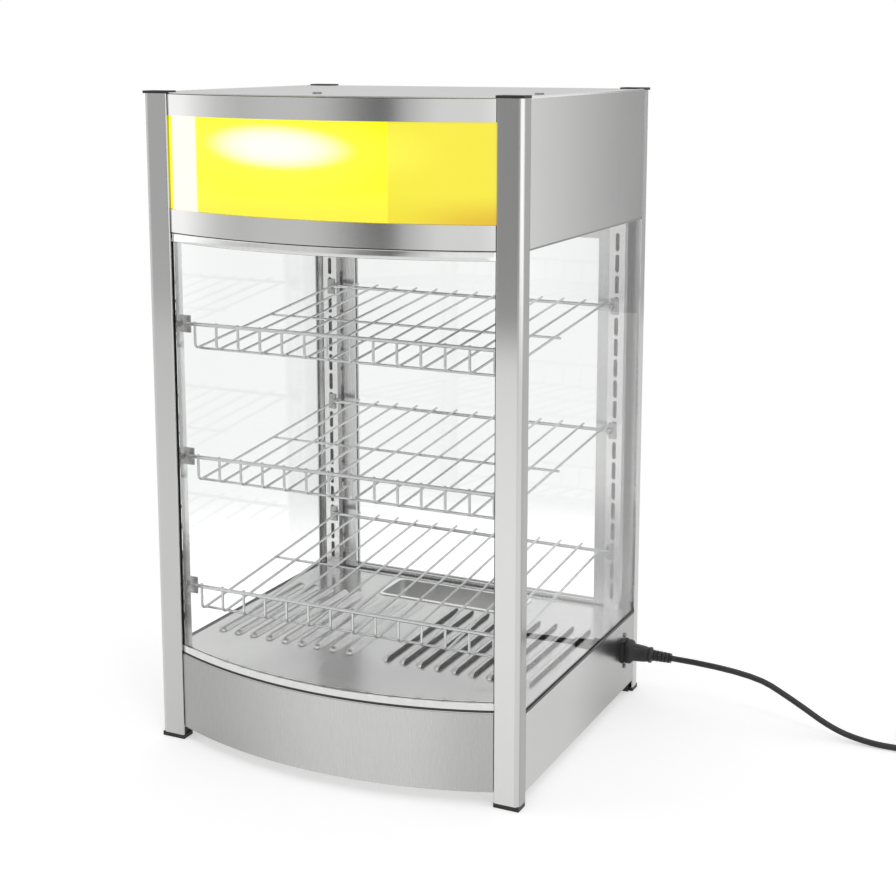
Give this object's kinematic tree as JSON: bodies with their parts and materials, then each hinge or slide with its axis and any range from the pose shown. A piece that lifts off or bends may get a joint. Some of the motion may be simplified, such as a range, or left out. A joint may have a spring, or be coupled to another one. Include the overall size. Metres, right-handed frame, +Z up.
{
  "type": "heated display case",
  "caption": "Countertop heated display case: bowed glass front, lit yellow sign panel, wire shelves, louvred floor with water pan, hinged rear door and mains lead.",
  "frame": {"origin": "on the floor, under the middle of the case as measured from the bowed front to the door handle", "axes": "+X to the right seen from the front, +Y from the bowed front to the rear door, +Z up"},
  "size_m": [0.937, 0.4737, 0.76],
  "materials": {
    "post_steel": "fine vertical brushing",
    "panel_steel": "fine brushing",
    "floor_steel": "satin sheet",
    "hidden_steel": "plain sheet",
    "bead_metal": "polished",
    "wire_chrome": "bright plated wire",
    "screw_metal": "plated",
    "clear_glass": "clear",
    "sign_plastic": "translucent yellow",
    "lamp_glass": "frosted white",
    "lamp_socket": "white moulding",
    "seal_rubber": "black",
    "black_plastic": "fine grain",
    "black_gloss": "smooth",
    "red_plastic": "translucent red",
    "amber_plastic": "translucent amber",
    "element_sheath": "heat tinted",
    "terminal_plastic": "cream moulding",
    "pan_steel": "polished pressing",
    "cord_plastic": "smooth black sheath",
    "pin_brass": "plain"
  },
  "bodies": {
    "case": {"base_bottom_plate": "hidden_steel", "base_front_panel": "panel_steel", "base_rear_panel": "panel_steel", "base_side_panel_left": "panel_steel", "base_side_panel_right": "panel_steel", "ceiling_plate": "hidden_steel", "cord_coil": "cord_plastic", "cord_connector": "cord_plastic", "cord_run": "cord_plastic", "cover_screws": "screw_metal", "deck_plate": "floor_steel", "door_catch": "black_plastic", "element_brackets": "hidden_steel", "front_glass": "clear_glass", "front_glass_bead": "bead_metal", "front_glass_sill": "bead_metal", "front_seals": "seal_rubber", "heating_element": "element_sheath", "hinge_pins": "screw_metal", "hinge_post_leaves": "screw_metal", "inlet_screws": "screw_metal", "lamp": "lamp_glass", "lamp_holder": "lamp_socket", "light_panel": "sign_plastic", "lower_front_band": "panel_steel", "mains_plug": "cord_plastic", "pilot_lamp": "amber_plastic", "post_caps": "black_plastic", "post_feet": "black_plastic", "post_front_left": "post_steel", "post_front_right": "post_steel", "post_rear_left": "post_steel", "post_rear_right": "post_steel", "power_inlet": "black_gloss", "shelf_clips": "floor_steel", "shelf_standards": "floor_steel", "side_glass_left": "clear_glass", "side_glass_right": "clear_glass", "side_seals": "seal_rubber", "switch_housings": "black_gloss", "terminal_block": "terminal_plastic", "thermostat": "black_plastic", "top_cover": "panel_steel", "top_front_band": "panel_steel", "upper_rear_panel": "panel_steel", "upper_side_panel_left": "panel_steel", "upper_side_panel_right": "panel_steel"},
    "door": {"door_frame": "panel_steel", "door_glass": "clear_glass", "door_handle": "wire_chrome", "hinge_door_leaves": "screw_metal", "catch_strike": "screw_metal"},
    "knob": {"thermostat_knob": "black_plastic", "thermostat_shaft": "pin_brass"},
    "power_rocker": {"power_rocker": "red_plastic"},
    "light_rocker": {"light_rocker": "black_gloss"},
    "water_pan": {"water_pan": "pan_steel"},
    "shelf_top": {"shelf_top": "wire_chrome"},
    "shelf_middle": {"shelf_middle": "wire_chrome"},
    "shelf_bottom": {"shelf_bottom": "wire_chrome"}
  },
  "joints": [
    {"name": "door_hinge", "type": "hinge", "parent": "case", "child": "door", "pos_m": [-0.1991, 0.2002, 0.345], "axis": [0, 0, 1], "range_deg": [0, 115]},
    {"name": "thermostat_turn", "type": "hinge", "parent": "case", "child": "knob", "pos_m": [-0.11, 0.196, 0.049], "axis": [0, -1, 0], "range_deg": [0, 270]},
    {"name": "power_rock", "type": "hinge", "parent": "case", "child": "power_rocker", "pos_m": [0.06, 0.195, 0.049], "axis": [1, 0, 0], "range_deg": [0, 16]},
    {"name": "light_rock", "type": "hinge", "parent": "case", "child": "light_rocker", "pos_m": [0.11, 0.195, 0.049], "axis": [1, 0, 0], "range_deg": [0, 16]},
    {"name": "pan_lift", "type": "slide", "parent": "case", "child": "water_pan", "axis": [0, 0, 1], "range_m": [0, 0.045]},
    {"name": "shelf_top_lift", "type": "slide", "parent": "case", "child": "shelf_top", "axis": [0, 0, 1], "range_m": [0, 0.012]},
    {"name": "shelf_middle_lift", "type": "slide", "parent": "case", "child": "shelf_middle", "axis": [0, 0, 1], "range_m": [0, 0.012]},
    {"name": "shelf_bottom_lift", "type": "slide", "parent": "case", "child": "shelf_bottom", "axis": [0, 0, 1], "range_m": [0, 0.012]}
  ]
}
